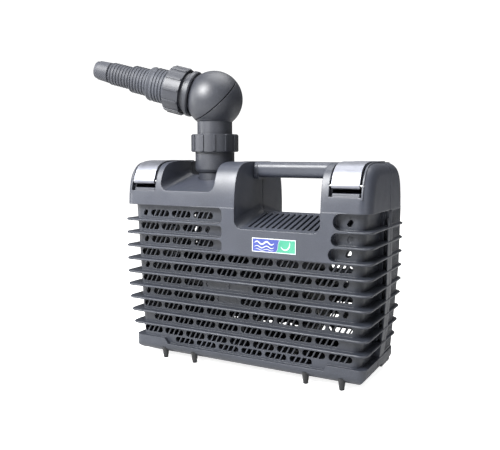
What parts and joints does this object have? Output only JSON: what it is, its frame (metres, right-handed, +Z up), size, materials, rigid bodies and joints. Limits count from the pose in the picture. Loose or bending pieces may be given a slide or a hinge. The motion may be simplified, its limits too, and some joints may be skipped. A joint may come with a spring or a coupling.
{
  "type": "submersible pond filter pump",
  "caption": "Pond filter pump in a slotted strainer case with a carrying handle, two clips, a swivel ball elbow and a stepped hosetail.",
  "frame": {"origin": "on the standing plane, under the middle of the strainer case, on the bottom of its centre foot", "axes": "+X to the right along the case seen from the labelled front, +Y to the back, +Z up"},
  "size_m": [0.3618, 0.1194, 0.3519],
  "materials": {
    "case_plastic": "satin fine-grained charcoal grey moulding",
    "pipe_plastic": "satin dark charcoal moulding",
    "clip_plastic": "silver white satin gloss",
    "foot_rubber": "black matt",
    "seal_rubber": "black matt",
    "label": null,
    "pump_plastic": "black glass-filled moulding",
    "impeller_plastic": "natural white moulding",
    "ceramic": "polished ceramic",
    "magnet": "ferrite",
    "stator": "potted laminations and windings",
    "steel": "stainless"
  },
  "bodies": {
    "rear_body": {"rear_shell": "case_plastic", "rear_cage": "case_plastic", "handle_bar": "case_plastic", "feet_rear": "foot_rubber", "hinge_pins": "steel", "outlet_pipe": "pipe_plastic", "outlet_seal": "seal_rubber", "pump_chamber": "pump_plastic", "chamber_gasket": "seal_rubber", "chamber_cover": "pump_plastic", "bearing_front": "ceramic", "bearing_rear": "ceramic", "rotor_can": "pump_plastic", "stator_pack": "stator", "motor_housing": "pump_plastic", "motor_end_cap": "pump_plastic", "end_cap_screws": "steel", "cable_gland": "pump_plastic", "cable_grommet": "seal_rubber", "motor_cradle": "pump_plastic", "rubber_mounts": "seal_rubber", "cradle_screws": "steel"},
    "front_body": {"front_shell": "case_plastic", "front_cage": "case_plastic", "feet_front": "foot_rubber", "clip_pins": "steel", "label_plate": "label"},
    "clip_left_body": {"clip_left": "clip_plastic"},
    "clip_right_body": {"clip_right": "clip_plastic"},
    "rotor": {"rotor_shaft": "ceramic", "rotor_magnet": "magnet", "impeller": "impeller_plastic"},
    "lower_nut_body": {"lower_union_nut": "pipe_plastic"},
    "elbow_lower_body": {"elbow_lower": "pipe_plastic", "elbow_neck": "pipe_plastic"},
    "elbow_upper_body": {"elbow_upper": "pipe_plastic", "arm_seal": "seal_rubber"},
    "upper_nut_body": {"upper_union_nut": "pipe_plastic"},
    "hosetail_body": {"hosetail": "pipe_plastic"}
  },
  "joints": [
    {"name": "case_hinge", "type": "hinge", "parent": "rear_body", "child": "front_body", "pos_m": [0, -0.008, 0.006], "axis": [1, 0, 0], "range_deg": [0, 90]},
    {"name": "clip_left_hinge", "type": "hinge", "parent": "front_body", "child": "clip_left_body", "pos_m": [-0.1216, -0.0542, 0.2086], "axis": [1, 0, 0], "range_deg": [0, 100]},
    {"name": "clip_right_hinge", "type": "hinge", "parent": "front_body", "child": "clip_right_body", "pos_m": [0.1216, -0.0542, 0.2086], "axis": [1, 0, 0], "range_deg": [0, 100]},
    {"name": "impeller_spin", "type": "hinge", "parent": "rear_body", "child": "rotor", "pos_m": [0, 0, 0.088], "axis": [1, 0, 0], "continuous": true},
    {"name": "lower_nut_turn", "type": "hinge", "parent": "rear_body", "child": "lower_nut_body", "pos_m": [-0.0605, 0, 0.25], "axis": [0, 0, 1], "continuous": true},
    {"name": "elbow_turn", "type": "hinge", "parent": "rear_body", "child": "elbow_lower_body", "pos_m": [-0.0605, 0, 0.3022], "axis": [0, 0, 1], "continuous": true},
    {"name": "elbow_swivel", "type": "hinge", "parent": "elbow_lower_body", "child": "elbow_upper_body", "pos_m": [-0.0605, 0, 0.3022], "axis": [-0.4382, -0.5549, 0.7071], "continuous": true},
    {"name": "upper_nut_turn", "type": "hinge", "parent": "elbow_upper_body", "child": "upper_nut_body", "pos_m": [-0.10305, -0.00919, 0.31362], "axis": [-0.9455, -0.2042, 0.2538], "continuous": true},
    {"name": "hosetail_turn", "type": "hinge", "parent": "elbow_upper_body", "child": "hosetail_body", "pos_m": [-0.13614, -0.01633, 0.3225], "axis": [-0.9455, -0.2042, 0.2538], "continuous": true}
  ]
}
